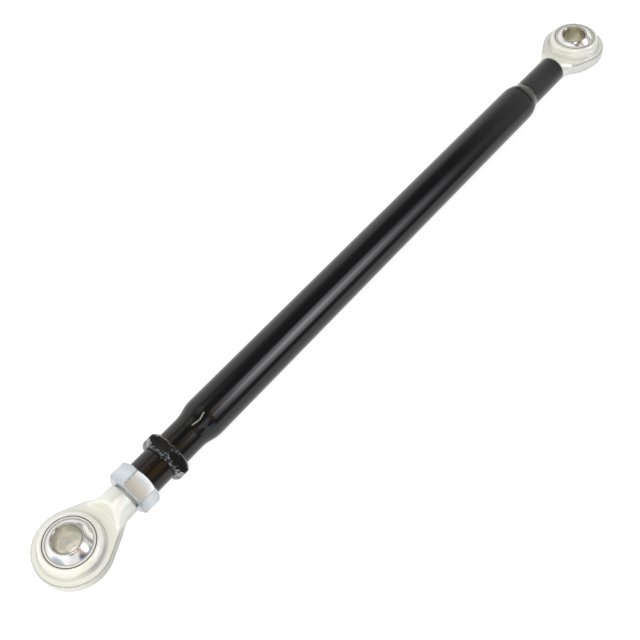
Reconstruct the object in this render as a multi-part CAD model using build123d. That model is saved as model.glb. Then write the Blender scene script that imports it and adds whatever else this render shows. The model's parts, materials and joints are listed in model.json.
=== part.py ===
from build123d import *
import math
import os

# Stabilizer link for a tractor's lower links, in millimetres: a painted tube with a tapped neck at
# each end, two forged ball eyes that screw into the necks, one lock nut, and a hexagon ring that
# turns the tube. The link is shown screwed right in, at its shortest.
# The origin is the near ball's centre, +X runs along the tube to the far eye, +Z is the near eye's axis.

# Balls, one in each eye
BALL_D = 54.0
BORE_D = 25.4
BORE_RIM = 2.2
BORE_CHAMFER = 0.9
NEAR_BALL_LEAN = 5.0
FAR_BALL_LEAN = 4.8

# Forged eyes: a flat ring round a raised hub that is rolled over the ball
EYE_WALL = 8.5
FLANGE_THICK = 12.0
FLANGE_ROUND = 1.4
SOCKET_GAP = 0.06
HUB_WIDTH = 36.0
HUB_WALL = 0.9
LIP_WIDTH = 2.1
GROOVE_WIDTH = 1.1
GROOVE_DEPTH = 0.8
BOSS_WALL = 0.5
BOSS_HEIGHT = 5.6
BOSS_CHAMFER = 0.4
BOSS_DRAFT = 0.1
BOSS_FOOT_CHAMFER = 1.5

# Root of an eye, where the flat ring thickens into the round shank
SHANK_D = 32.0
SPOTFACE_MARGIN = 3.2
SPOTFACE_FILLET = 3.0
RAMP_RUN = 6.5
RAMP_ROUND = 2.0
RAMP_TO_SHANK = 2.3

# Threaded studs, drawn as plain cylinders at the thread's outer diameter
NEAR_SHANK_LENGTH = 13.5
FAR_SHANK_LENGTH = 1.5
SHANK_CHAMFER = 1.5
NEAR_THREAD_D = 27.0
FAR_THREAD_D = 24.0
THREAD_PITCH = 3.0
THREAD_GAP = 0.05
RELIEF_WIDTH = 3.0
RELIEF_DEPTH = 1.7
STUD_CHAMFER = 1.6
TURNS = 16
ENGAGED_AT_LONGEST = 30.0

# Lock nut on the near stud
NUT_FLATS = 41.0
NUT_HEIGHT = 20.5
NUT_CHAMFER_ANGLE = 30.0
NUT_FACE_SHARE = 0.95
NUT_COUNTERSINK = 1.0
NUT_ROLL = 28.5
NUT_TO_SHANK = 1.5
NUT_TO_TUBE = 0.1

# Tube with its swaged necks
TUBE_D = 42.4
TUBE_WALL = 4.0
TUBE_LENGTH = 682.5
NECK_WALL = 4.0
NEAR_NECK_LENGTH = 57.5
NEAR_TAPER_LENGTH = 24.0
NEAR_TAPER_TURN = 0.5
FAR_NECK_LENGTH = 55.0
FAR_TAPER_LENGTH = 22.0
FAR_TAPER_TURN = 0.72
NECK_CHAMFER = 0.8
TUBE_TO_FAR_EYE = 0.3
FAR_EYE_ROLL = 6.2

# Hexagon ring fixed on the near neck
COLLAR_WALL = 5.5
COLLAR_THICK = 15.0
COLLAR_CHAMFER_ANGLE = 45.0
COLLAR_FACE_SHARE = 0.93
COLLAR_FROM_END = 21.0
COLLAR_ROLL = -6.5

# Sizes and places that follow from those above
BALL_R = BALL_D / 2
BORE_R = BORE_D / 2
BALL_WIDTH = 2 * math.sqrt(BALL_R**2 - (BORE_R + BORE_RIM) ** 2)
SOCKET_R = BALL_R + SOCKET_GAP
EYE_R = BALL_R + EYE_WALL
HUB_R = BALL_R + HUB_WALL
BOSS_R = HUB_R + BOSS_WALL
LIP_Z = HUB_WIDTH / 2
LIP_INNER_R = math.sqrt(SOCKET_R**2 - LIP_Z**2)
FACE_Z = FLANGE_THICK / 2
SHANK_R = SHANK_D / 2
SPOTFACE_R = EYE_R + SPOTFACE_MARGIN
ROOT_LENGTH = SPOTFACE_R + RAMP_RUN + RAMP_TO_SHANK
NEAR_NECK_R = NEAR_THREAD_D / 2 + NECK_WALL
FAR_NECK_R = FAR_THREAD_D / 2 + NECK_WALL
COLLAR_FLATS = 2 * (NEAR_NECK_R + COLLAR_WALL)
NUT_X = ROOT_LENGTH + NEAR_SHANK_LENGTH + NUT_TO_SHANK
TUBE_X = NUT_X + NUT_HEIGHT + NUT_TO_TUBE
TUBE_END_X = TUBE_X + TUBE_LENGTH
FAR_X = TUBE_END_X + TUBE_TO_FAR_EYE + FAR_SHANK_LENGTH + ROOT_LENGTH
TRAVEL = TURNS * THREAD_PITCH
NEAR_STUD_END = TUBE_X + TRAVEL + ENGAGED_AT_LONGEST
FAR_STUD_END = FAR_X - TUBE_END_X + TRAVEL + ENGAGED_AT_LONGEST
SNAP = 0.01


def tangent_point():
    """Where a straight side of the root, drawn from the shank's corner, touches the round eye."""
    reach = math.hypot(ROOT_LENGTH, SHANK_R)
    angle = math.atan2(SHANK_R, ROOT_LENGTH) + math.acos(EYE_R / reach)
    return EYE_R * math.cos(angle), EYE_R * math.sin(angle)


def turned(outline, axis):
    """A solid of revolution from a closed outline that is drawn in the XZ plane."""
    return revolve(Plane.XZ * make_face(outline), axis)


def ball(lean_axis, lean):
    """A sphere with two flats, drilled through and leaning by lean degrees about lean_axis."""
    body = Sphere(BALL_R) & Cylinder(BALL_D, BALL_WIDTH)
    body -= Cylinder(BORE_R, BALL_WIDTH)
    circles = body.edges().filter_by(GeomType.CIRCLE)
    body = chamfer([e for e in circles if abs(e.radius - BORE_R) < SNAP], BORE_CHAMFER)
    return body.rotate(lean_axis, lean)


def hub():
    """The raised ring round the ball: rolled lip, groove, rounded bead, and the boss it stands in."""
    lip_end = LIP_INNER_R + LIP_WIDTH
    bead_start = lip_end + GROOVE_WIDTH
    groove_floor = (lip_end + GROOVE_WIDTH / 2, LIP_Z - GROOVE_DEPTH)
    bead_end = (HUB_R, LIP_Z - (HUB_R - bead_start))
    boss_z = FACE_Z + BOSS_HEIGHT
    foot_r = BOSS_R + BOSS_DRAFT
    outline = Polyline((0, 0), (0, LIP_Z), (lip_end, LIP_Z), groove_floor, (bead_start, LIP_Z))
    outline += TangentArc((bead_start, LIP_Z), bead_end, tangent=(1, 0))
    outline += Polyline(
        bead_end, (HUB_R, boss_z), (BOSS_R - BOSS_CHAMFER, boss_z), (BOSS_R, boss_z - BOSS_CHAMFER),
        (foot_r, FACE_Z + BOSS_FOOT_CHAMFER), (foot_r + BOSS_FOOT_CHAMFER, FACE_Z),
        (foot_r + BOSS_FOOT_CHAMFER, 0), (0, 0),
    )
    upper = turned(outline, Axis.Z)
    return upper + mirror(upper, Plane.XY)


def flange():
    """The flat ring and its straight sides, which run to the shank, with rounded edges."""
    x, y = tangent_point()
    sides = Polyline((x, y), (ROOT_LENGTH, SHANK_R), (ROOT_LENGTH, -SHANK_R), (x, -y), close=True)
    plate = extrude(Circle(EYE_R) + make_face(sides), FACE_Z, both=True)
    rims = [e for e in plate.edges() if abs(abs(e.center().Z) - FACE_Z) < SNAP]
    return fillet([e for e in rims if e.center().X < ROOT_LENGTH - SNAP], FLANGE_ROUND)


def spotface():
    """What is cut away above a flat face of the eye: a disc with a sloping rim that climbs to the shank."""
    top = SHANK_R + FLANGE_THICK
    rim = (SPOTFACE_R + (top - FACE_Z) * RAMP_RUN / (SHANK_R - FACE_Z), top)
    section = make_face(Polyline((0, FACE_Z), (SPOTFACE_R, FACE_Z), rim, (0, top), close=True))
    bend = section.vertices().sort_by_distance((SPOTFACE_R, FACE_Z))[0]
    return revolve(Plane.XZ * fillet(bend, SPOTFACE_FILLET), Axis.Z)


def root():
    """The thick part between eye and shank: an oval that grows into the shank's circle."""
    x, y = tangent_point()
    oval = Plane.YZ.offset(x) * Ellipse(y, FACE_Z)
    circle = Plane.YZ.offset(ROOT_LENGTH) * Circle(SHANK_R)
    body = loft([oval, circle], ruled=True)
    upper = spotface()
    return body - upper - mirror(upper, Plane.XY)


def stud(shank_length, thread_d, end_x):
    """The plain shank, its relief groove and the threaded length, turned about X."""
    thread_r = thread_d / 2
    shank_end = ROOT_LENGTH + shank_length
    relief_end = shank_end + RELIEF_WIDTH
    outline = [(ROOT_LENGTH, 0), (ROOT_LENGTH, SHANK_R)]
    if shank_length > SHANK_CHAMFER:
        outline += [(shank_end - SHANK_CHAMFER, SHANK_R), (shank_end, SHANK_R - SHANK_CHAMFER)]
    outline += [
        (shank_end, thread_r - RELIEF_DEPTH),
        (relief_end - RELIEF_DEPTH, thread_r - RELIEF_DEPTH),
        (relief_end, thread_r),
        (end_x - STUD_CHAMFER, thread_r),
        (end_x, thread_r - STUD_CHAMFER),
        (end_x, 0),
    ]
    return turned(Polyline(*outline, close=True), Axis.X)


def rod_end(shank_length, thread_d, end_x):
    """A forged eye on its threaded stud, with the eye's centre at the origin and the stud along +X."""
    body = flange() + root()
    middle = [e for e in body.edges() if abs(e.center().Y) < SNAP and e.center().X < ROOT_LENGTH - SNAP]
    ramp_tops = [e for e in middle if abs(e.center().Z) > FACE_Z + SPOTFACE_FILLET]
    body = fillet(ramp_tops, RAMP_ROUND)
    body += stud(shank_length, thread_d, end_x) + hub()
    return body - Sphere(SOCKET_R)


def hexagon(flats, thick, chamfer_angle, face_share):
    """A hexagon prism along X from x = 0, its corners turned off at both ends."""
    corner_r = flats / math.sqrt(3)
    face_r = flats / 2 * face_share
    depth = (corner_r - face_r) * math.tan(math.radians(chamfer_angle))
    prism = extrude(Plane.YZ * RegularPolygon(corner_r, 6), thick)
    outline = [(0, 0), (0, face_r), (depth, corner_r)]
    outline += [(thick - depth, corner_r), (thick, face_r), (thick, 0)]
    return prism & turned(Polyline(*outline, close=True), Axis.X)


def lock_nut():
    """Hexagon nut with a countersunk hole that clears the stud's thread."""
    hole_r = NEAR_THREAD_D / 2 + THREAD_GAP
    mouth_r = hole_r + NUT_COUNTERSINK
    body = hexagon(NUT_FLATS, NUT_HEIGHT, NUT_CHAMFER_ANGLE, NUT_FACE_SHARE)
    outline = [
        (0, 0), (0, mouth_r), (NUT_COUNTERSINK, hole_r),
        (NUT_HEIGHT - NUT_COUNTERSINK, hole_r), (NUT_HEIGHT, mouth_r), (NUT_HEIGHT, 0),
    ]
    body -= turned(Polyline(*outline, close=True), Axis.X)
    return body.rotate(Axis.X, NUT_ROLL).moved(Location((NUT_X, 0, 0)))


def hex_collar():
    """Hexagon ring round the near neck, for the spanner that turns the tube."""
    body = hexagon(COLLAR_FLATS, COLLAR_THICK, COLLAR_CHAMFER_ANGLE, COLLAR_FACE_SHARE)
    body -= extrude(Plane.YZ * Circle(NEAR_NECK_R), COLLAR_THICK)
    return body.rotate(Axis.X, COLLAR_ROLL).moved(Location((TUBE_X + COLLAR_FROM_END, 0, 0)))


def swage(start, end, turn):
    """Two arcs from start to end that leave and arrive along X and meet at the share turn of the way."""
    meet = (start[0] + (end[0] - start[0]) * turn, start[1] + (end[1] - start[1]) * turn)
    return TangentArc(start, meet, tangent=(1, 0)) + TangentArc(end, meet, tangent=(-1, 0))


def swage_places():
    """Along X: the near neck's end, both ends of the full width, and where the far neck starts."""
    near_neck = TUBE_X + NEAR_NECK_LENGTH
    far_neck = TUBE_END_X - FAR_NECK_LENGTH
    return near_neck, near_neck + NEAR_TAPER_LENGTH, far_neck - FAR_TAPER_LENGTH, far_neck


def tube_outside():
    """The tube's outer form with both necks swaged down, as a solid."""
    tube_r = TUBE_D / 2
    near_neck, near_full, far_full, far_neck = swage_places()
    outline = Polyline(
        (TUBE_X, 0), (TUBE_X, NEAR_NECK_R - NECK_CHAMFER), (TUBE_X + NECK_CHAMFER, NEAR_NECK_R),
        (near_neck, NEAR_NECK_R),
    )
    outline += swage((near_neck, NEAR_NECK_R), (near_full, tube_r), NEAR_TAPER_TURN)
    outline += Line((near_full, tube_r), (far_full, tube_r))
    outline += swage((far_full, tube_r), (far_neck, FAR_NECK_R), FAR_TAPER_TURN)
    outline += Polyline(
        (far_neck, FAR_NECK_R), (TUBE_END_X - NECK_CHAMFER, FAR_NECK_R),
        (TUBE_END_X, FAR_NECK_R - NECK_CHAMFER), (TUBE_END_X, 0), (TUBE_X, 0),
    )
    return turned(outline, Axis.X)


def tube_inside():
    """The hollow of the tube: a tapped hole in each neck and the wide middle between them."""
    near_r = NEAR_THREAD_D / 2 + THREAD_GAP
    far_r = FAR_THREAD_D / 2 + THREAD_GAP
    wide_r = TUBE_D / 2 - TUBE_WALL
    near_neck, near_full, far_full, far_neck = swage_places()
    outline = [
        (TUBE_X, 0), (TUBE_X, near_r), (near_neck, near_r), (near_full, wide_r),
        (far_full, wide_r), (far_neck, far_r), (TUBE_END_X, far_r), (TUBE_END_X, 0),
    ]
    return turned(Polyline(*outline, close=True), Axis.X)


def at_far_end(body):
    """Turns a piece made at the origin to face the near eye, rolls it and moves it to the far eye."""
    return body.rotate(Axis.Z, 180).rotate(Axis.X, -FAR_EYE_ROLL).moved(Location((FAR_X, 0, 0)))


PIECES = {
    "near_rod_end": rod_end(NEAR_SHANK_LENGTH, NEAR_THREAD_D, NEAR_STUD_END),
    "near_ball": ball(Axis.X, -NEAR_BALL_LEAN),
    "lock_nut": lock_nut(),
    "tube": tube_outside() - tube_inside(),
    "hex_collar": hex_collar(),
    "far_rod_end": at_far_end(rod_end(FAR_SHANK_LENGTH, FAR_THREAD_D, FAR_STUD_END)),
    "far_ball": at_far_end(ball(Axis.Y, FAR_BALL_LEAN)),
}

os.makedirs("parts", exist_ok=True)
for name, piece in PIECES.items():
    piece.label = name
    export_step(piece, f"parts/{name}.step")
print(f"centre to centre {FAR_X:.1f} mm closed, {FAR_X + 2 * TRAVEL:.1f} mm open")
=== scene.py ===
import json
import math

import bmesh
import bpy
import numpy as np
from mathutils import Matrix, Vector


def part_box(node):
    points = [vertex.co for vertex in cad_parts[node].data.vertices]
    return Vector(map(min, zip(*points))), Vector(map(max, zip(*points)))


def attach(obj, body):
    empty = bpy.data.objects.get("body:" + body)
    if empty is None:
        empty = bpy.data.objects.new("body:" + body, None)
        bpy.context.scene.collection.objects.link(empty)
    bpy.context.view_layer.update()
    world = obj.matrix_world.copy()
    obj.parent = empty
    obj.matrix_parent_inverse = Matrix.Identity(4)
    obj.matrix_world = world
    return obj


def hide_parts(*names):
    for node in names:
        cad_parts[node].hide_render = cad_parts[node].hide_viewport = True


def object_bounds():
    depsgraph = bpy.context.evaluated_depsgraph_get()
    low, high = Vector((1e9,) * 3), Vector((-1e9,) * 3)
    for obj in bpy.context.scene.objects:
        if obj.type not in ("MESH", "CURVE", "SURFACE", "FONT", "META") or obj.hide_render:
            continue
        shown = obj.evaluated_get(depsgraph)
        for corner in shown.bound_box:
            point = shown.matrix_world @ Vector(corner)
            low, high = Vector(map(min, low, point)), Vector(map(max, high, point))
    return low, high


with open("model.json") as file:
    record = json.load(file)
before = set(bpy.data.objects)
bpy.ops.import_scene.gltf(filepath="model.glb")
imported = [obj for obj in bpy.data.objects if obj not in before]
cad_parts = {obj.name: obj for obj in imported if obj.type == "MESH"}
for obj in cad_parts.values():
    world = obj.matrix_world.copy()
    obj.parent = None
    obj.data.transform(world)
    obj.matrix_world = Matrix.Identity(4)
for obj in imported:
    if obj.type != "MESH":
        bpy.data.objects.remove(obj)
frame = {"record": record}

# The look of a stabilizer link: a black painted tube between two zinc-plated ball eyes.
# Sizes and places below are in millimetres and angles in degrees, unless a name says otherwise.
# Meshes are brought to metres when they are made.

METRES = 0.001
cad_box = [list(corner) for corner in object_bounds()]


def box_mm(node):
    """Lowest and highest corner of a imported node, in millimetres."""
    low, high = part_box(node)
    return np.array(low) / METRES, np.array(high) / METRES


def mount(name):
    """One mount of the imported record."""
    return next(m for m in frame["record"]["mounts"] if m["name"] == name)


# Places and sizes read from the frame. The scene's rim stays INSIDE_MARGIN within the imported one
INSIDE_MARGIN = 0.02
NEAR_LOW, NEAR_HIGH = box_mm("near_rod_end")
FAR_LOW = box_mm("far_rod_end")[0]
TUBE_LOW, TUBE_HIGH = box_mm("tube")
NUT_LOW, NUT_HIGH = box_mm("lock_nut")
COLLAR_LOW, COLLAR_HIGH = box_mm("hex_collar")
BALL_LOW, BALL_HIGH = box_mm("near_ball")
NEAR_CENTRE = np.array(mount("near_bore")["pos_m"]) / METRES
FAR_CENTRE = np.array(mount("far_bore")["pos_m"]) / METRES
NEAR_BORE_AXIS = Vector(mount("near_bore")["axis"])
FAR_BORE_AXIS = Vector(mount("far_bore")["axis"])
BORE_R = mount("near_bore")["dims"]["r_mm"]
BALL_R = (BALL_HIGH[0] - BALL_LOW[0]) / 2
EYE_R = min(-NEAR_LOW[0], -NEAR_LOW[1], NEAR_HIGH[1]) - INSIDE_MARGIN
LIP_Z = NEAR_HIGH[2]
TUBE_R = (TUBE_HIGH[2] - TUBE_LOW[2]) / 2
TUBE_X0, TUBE_X1 = TUBE_LOW[0], TUBE_HIGH[0]
FLOOR_Z = cad_box[0][2] / METRES

# Balls
BORE_RIM = 2.2
BORE_CHAMFER = 0.9
BALL_ROUNDS = (0.25, 0.25, 0.3)
FLAT_EDGE_TURN = 4.0
BORE_STAIN_RUN = 0.3
BALL_ROWS = 61
BALL_COLUMNS = 128

# Forged eyes
FACE_Z = 6.0
SHANK_R = 16.0
ROOT_LENGTH = 47.5
SPOTFACE_R = 38.7
SPOTFACE_DROP = 1.5
SPOTFACE_LEAD = 1.0
RAMP_RUN = 6.5
RAMP_BLEND = 2.4
ROOT_BLEND = 1.4
EDGE_ROUND = 0.9
WALL_DRAFT = 0.35
PLATE_FADE_START = 36.0
SOCKET_R = 27.06
LIP_DEPTH = 0.8
LIP_WIDTH = 2.1
GROOVE_WIDTH = 1.1
GROOVE_DEPTH = 1.1
BEAD_START_DROP = 0.25
BEAD_START_RUN = 0.8
BEAD_END_R = 27.9
STEP_TOP = (28.05, 11.6)
STEP_EDGE = (28.4, 11.1)
FLANK_END = (28.5, 7.5)
FOOT_R = 30.0
FORGED_WAVE = 0.07
SHANK_COLUMNS = 49
RIM_COLUMNS = 180
FACE_ROWS = 40
WALL_ROWS = 9
SOCKET_ROWS = 20

# Painted shade on the forgings and studs: dark tint standing for shade, as shares of the groove's,
# and where it lies
LIP_SHADE = 0.5
LIP_SHADE_WIDTH = 0.1
GROOVE_SHADE_DROP = 0.3
GROOVE_SHADE_START = 1.0
GROOVE_SHADE_STOP = 3.0
FOOT_SHADE = 0.40
FOOT_SHADE_HEIGHT = 1.5
FOOT_SHADE_RUN = 0.8
FLANK_SHADE = 0.58
# The flank's painted shade is strongest towards this direction, which is fixed on the eye
FLANK_DIRECTION = -78.0
FLANK_FADE = 0.2
FLANK_SHADE_RUN = 0.3
EDGE_SHADE = 0.62
EDGE_SHADE_START = 1.1
EDGE_SHADE_FULL = 0.5
EDGE_SHADE_FADE = 4
WALL_SHADE = 0.14
# Painted shade in the thread roots and on the shank's end next to the nut
THREAD_SHADE = 0.55
SHANK_SHADE = 0.22
SHANK_SHADE_START = 5
SHANK_SHADE_FULL = 0.5

# Studs
NUT_TO_SHANK = 1.5
FAR_SHANK_LENGTH = 1.5
NEAR_SHANK_END = NUT_LOW[0] - NUT_TO_SHANK
FAR_SHANK_END = ROOT_LENGTH + FAR_SHANK_LENGTH
SHANK_CHAMFER = 1.5
STEP = 0.001
NEAR_THREAD_R = 13.5
FAR_THREAD_R = 12.0
RELIEF_WIDTH = 3.0
RELIEF_DEPTH = 1.9
RELIEF_SLOPE = 0.9
THREAD_PITCH = 3.0
THREAD_DEPTH = 1.84
THREAD_CREST = 0.125
THREAD_FLANK = 0.75
THREAD_ROWS = 8
THREAD_GAP = 0.05
STUD_CHAMFER = 1.6
STUD_TIP_INSET = 0.4
FAR_EYE_ROLL = 6.2

# Lock nut and hexagon collar
NUT_FLATS = 41.0
NUT_ROLL = 28.5
NUT_BORE_R = 13.55
NUT_COUNTERSINK = 1.0
NUT_FACE_SHARE = 0.95
NUT_CONE_SLOPE = 0.577
NUT_EDGE_CUT = 0.25
COLLAR_FLATS = 46.0
COLLAR_ROLL = -6.5
COLLAR_FACE_SHARE = 0.93
COLLAR_CONE_SLOPE = 1.0
COLLAR_EDGE_CUT = 0.3
HEX_CORNER_SHARE = 0.988
HEX_CORNER_ROUND = 0.5
HEX_MOUTH_CUT = 0.15
HEX_COLUMNS = 144
# Edges of both hexagons: painted shade on the nut, rubbed paint on the collar
EDGE_WEAR_AND_SHADE = 0.6
CORNER_WEAR_START = 0.84
CONE_WEAR_INSET = 0.2
NO_WEAR = (0, 0, 0, 0, 0, 0)
COLLAR_WEAR = (0.8, 1.2, 0.5, 1.2, 0.8, 0.8)

# Tube
NEAR_NECK_R = 17.5
FAR_NECK_R = 16.0
NEAR_NECK_LENGTH = 57.5
NEAR_TAPER_LENGTH = 24.0
NEAR_TAPER_TURN = 0.5
FAR_NECK_LENGTH = 55.0
FAR_TAPER_LENGTH = 22.0
FAR_TAPER_TURN = 0.72
NECK_CHAMFER = 0.8
TUBE_WALL = 4.0
HOLE_LEAD = 1.5
TUBE_ROWS = 42
TUBE_COLUMNS = 192
TAPER_ROWS = 28

# All meshes
CREASE_ANGLE = 32.0
WELD = 0.002
BEND_POINTS = 5

# Paint and plate colours
PAINT_BLACKS = ((0.0045, 0.0045, 0.0050, 1), (0.0068, 0.0066, 0.0064, 1))
# Brown of the painted reflection glints on the near neck
PAINT_BROWN = (0.009, 0.006, 0.004, 1)
PAINT_BROWN_START, PAINT_BROWN_END = 40, 70
DUST = (0.16, 0.15, 0.14, 1)
WORN_GREY = (0.34, 0.35, 0.37, 1)
EYE_PLATES = ((0.95, 0.945, 0.84, 1), (0.93, 0.945, 0.88, 1))
EYE_PITS = (0.52, 0.50, 0.46, 1)
# Colour of the painted shade on the eyes
EYE_SHADE_TINT = (0.09, 0.07, 0.13, 1)
NUT_PLATES = ((0.69, 0.76, 0.81, 1), (0.73, 0.78, 0.80, 1))
# Colour of the painted shade on the nut's edges
NUT_EDGE_SHADE = (0.42, 0.41, 0.46, 1)
BALL_STEELS = ((0.82, 0.81, 0.79, 1), (0.86, 0.85, 0.84, 1))
BORE_STEELS = ((0.58, 0.58, 0.49, 1), (0.84, 0.78, 0.64, 1))
# Colour of the painted shade line round the balls' bores
BORE_RIM_SHADE = (0.16, 0.12, 0.20, 1)

# Floor: its glow to the camera, and its levels in reflections along y and x, each as a range in
# metres and the level at both its ends, with a darker place beside the near eye, a painted shadow
# of the eye that reflections see
FLOOR_RADIUS = 4000
FLOOR_SHIFT = 400
FLOOR_CORNERS = 64
FLOOR_WHITE = (0.86, 0.86, 0.86, 1)
FLOOR_SHADOW_GREY = (0.25, 0.25, 0.25, 1)
FLOOR_GLOW = 0.88
FLOOR_ALONG_Y = (-1.4, -0.4, 0.1, 0.75)
FLOOR_ALONG_X = (0.9, 1.8, 0.0, 0.5)
FLOOR_SHADE_PLACE = (28, -52, FLOOR_Z)
FLOOR_SHADE_INNER, FLOOR_SHADE_OUTER = 25, 58
FLOOR_SHADE_LEVEL = 0.3

# Studio, seen by reflections only. Directions point from the object to the room. The room's levels
# go from the near horizon over the zenith to the far one, and the soft box's from the zenith down
# the near side
ROOM_LEVELS = (
    (0.0, 0.20), (0.06, 0.17), (0.16, 0.12), (0.42, 0.09),
    (0.63, 0.10), (0.71, 0.28), (0.79, 0.80), (0.87, 1.0),
)
BOX_ACROSS = ((0.12, 0.0), (0.30, 0.45), (0.48, 1.0), (0.66, 0.45), (0.82, 0.0))
BOX_ALONG = (
    (0.19, 0.0), (0.28, 0.35), (0.345, 0.86), (0.41, 1.0),
    (0.48, 0.74), (0.55, 0.33), (0.62, 0.05), (0.67, 0.0),
)
BOX_COLOUR = (6.1, 6.1, 6.5, 1)
HORIZON = 0.1
FAR_CEILING = (0.86, 0.86, 0.86, 1)
FAR_CEILING_START, FAR_CEILING_FULL = 0.60, 0.71
# Walls and doors across x: where each starts, where it is full, its colour
LEFT_WALL = (-0.35, -0.60, (1.2, 1.2, 1.2, 1))
LEFT_DOOR = (-0.86, -0.95, (0.52, 0.57, 0.65, 1))
RIGHT_DOOR = (0.74, 0.80, (0.30, 0.30, 0.28, 1))
RIGHT_WALL = (0.84, 0.95, (1.1, 1.07, 0.98, 1))
NEAR_WALL = (0.95, 0.95, 0.97, 1)
NEAR_WALL_DOWN = (-0.45, -0.62)
NEAR_WALL_LEFT = (0.14, 0.04)
# Patches overhead: direction, full within and gone beyond these degrees, colour
CORNER_PATCHES = (
    ((0.05, 0.40, 0.91), 6, 19, (0.70, 0.70, 0.65, 1)),
    ((0.13, -0.56, 0.82), 6, 13, (0.56, 0.37, 0.14, 1)),
    ((0.08, -0.82, 0.57), 5, 13, (0.62, 0.42, 0.27, 1)),
    ((-0.03, -0.90, 0.43), 5, 15, (0.07, 0.09, 0.20, 1)),
)
TUBE_LAMP_SIDE = (0.434, -0.900, -0.047)
TUBE_LAMP_MIDDLE = (-0.120, -0.110, 0.987)
TUBE_LAMP_EDGE, TUBE_LAMP_CORE = 0.075, 0.02
TUBE_LAMP_INNER, TUBE_LAMP_OUTER = 10.5, 13
TUBE_LAMP_COLOUR = (10.0, 8.9, 7.4, 1)
PLAIN_LIGHT = (0.52, 0.53, 0.54, 1)
WHITE = (1, 1, 1, 1)

# The lamp that lights the object, hidden from reflections
LAMP_PLACE = (-500, -300, 1400)
LAMP_AIM = (0, 0, 0)
LAMP_SIZE = (1100, 900)
LAMP_RADIANCE = 5.1
LAMP_TINT = (1.0, 0.965, 0.92)

# Camera. CAMERA_CLIP is in metres
CAMERA_PLACE = (-85.7, -338.4, 787.9)
CAMERA_AIM = (314.3, -13.7, 0.0)
CAMERA_ROLL = 0.42
CAMERA_FOCAL_PX = 952.583
PICTURE_PX = 640
SENSOR_WIDTH = 36.0
CAMERA_CLIP = 20.0


# Meshes

def quads_of(grid, closed_rows=False, closed_columns=True):
    """Corner indices of the quads between neighbouring rows and columns of a grid of points."""
    rows, columns = grid.shape[:2]
    i, j = np.meshgrid(
        np.arange(rows if closed_rows else rows - 1),
        np.arange(columns if closed_columns else columns - 1),
        indexing="ij",
    )
    i_next, j_next = (i + 1) % rows, (j + 1) % columns
    this_row, next_row = i * columns, i_next * columns
    corners = [this_row + j, this_row + j_next, next_row + j_next, next_row + j]
    return np.stack(corners, -1).reshape(-1, 4)


def make_piece(name, sheets, place=None, body=None, node=None, material=None):
    """One closed mesh from several grids of points, welded where they meet, that stands for a
    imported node. A sheet is (grid, closed_rows, closed_columns, ridge), where ridge says from 0 to 1
    how worn or how dark each point is."""
    points, quads, ridges, start = [], [], [], 0
    for grid, closed_rows, closed_columns, ridge in sheets:
        points.append(grid.reshape(-1, 3))
        quads.append(quads_of(grid, closed_rows, closed_columns) + start)
        ridges.append(np.broadcast_to(ridge, grid.shape[:2]).reshape(-1))
        start += points[-1].shape[0]
    points = np.concatenate(points)
    if place is not None:
        points = points @ np.array(place.to_3x3()).T + np.array(place.translation)
    mesh = bpy.data.meshes.new(name)
    mesh.from_pydata(points * METRES, [], np.concatenate(quads))
    ridge_values = mesh.attributes.new("ridge", "FLOAT", "POINT")
    ridge_values.data.foreach_set("value", np.concatenate(ridges).astype(np.float32))
    weld(mesh)
    obj = bpy.data.objects.new(name, mesh)
    bpy.context.scene.collection.objects.link(obj)
    mesh.materials.append(material)
    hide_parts(node)
    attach(obj, body)
    return obj


def weld(mesh):
    """Merges points that lie on each other, turns the faces outwards and marks sharp edges."""
    cleaner = bmesh.new()
    cleaner.from_mesh(mesh)
    bmesh.ops.remove_doubles(cleaner, verts=cleaner.verts, dist=WELD * METRES)
    bmesh.ops.recalc_face_normals(cleaner, faces=cleaner.faces)
    cleaner.to_mesh(mesh)
    cleaner.free()
    mesh.shade_smooth()
    mesh.set_sharp_from_angle(angle=math.radians(CREASE_ANGLE))


# Outlines, as arrays of (along, out) points

def line(*points):
    """Straight runs through the given points."""
    return np.array(points, float)


def arc(centre, radius, first, last, count):
    """Points of a circle about centre, from the angle first to the angle last, in degrees."""
    angle = np.radians(np.linspace(first, last, count))
    return np.stack([centre[0] + radius * np.cos(angle), centre[1] + radius * np.sin(angle)], -1)


def bend(before, corner, after, cut, count=BEND_POINTS):
    """A rounded corner: the quadratic curve from cut before the corner to cut after it.
    The three points may be arrays that hold one outline for each column."""
    before, corner, after = (np.asarray(p, float) for p in (before, corner, after))
    into = (before - corner) / np.linalg.norm(before - corner, axis=-1, keepdims=True)
    out = (after - corner) / np.linalg.norm(after - corner, axis=-1, keepdims=True)
    t = np.linspace(0, 1, count).reshape((-1,) + (1,) * corner.ndim)
    start, end = corner + into * cut, corner + out * cut
    return (1 - t) ** 2 * start + 2 * t * (1 - t) * corner + t**2 * end


def soften(corners, cuts, count=BEND_POINTS):
    """Every inner corner of an open outline rounded by its own cut, the two ends kept."""
    parts = [corners[:1]]
    for k, cut in enumerate(cuts, 1):
        parts.append(bend(corners[k - 1], corners[k], corners[k + 1], cut, count))
    return np.concatenate(parts + [corners[-1:]])


def round_x(outline, columns, ridge=0.0):
    """A surface of revolution about X: each (x, r) point goes round as (x, r sin a, r cos a)."""
    a = np.linspace(0, 2 * np.pi, columns, endpoint=False)
    x, r = outline[:, :1], outline[:, 1:]
    grid = np.stack([x + 0 * a, r * np.sin(a), r * np.cos(a)], -1)
    return grid, True, True, ridge


# Balls

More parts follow.
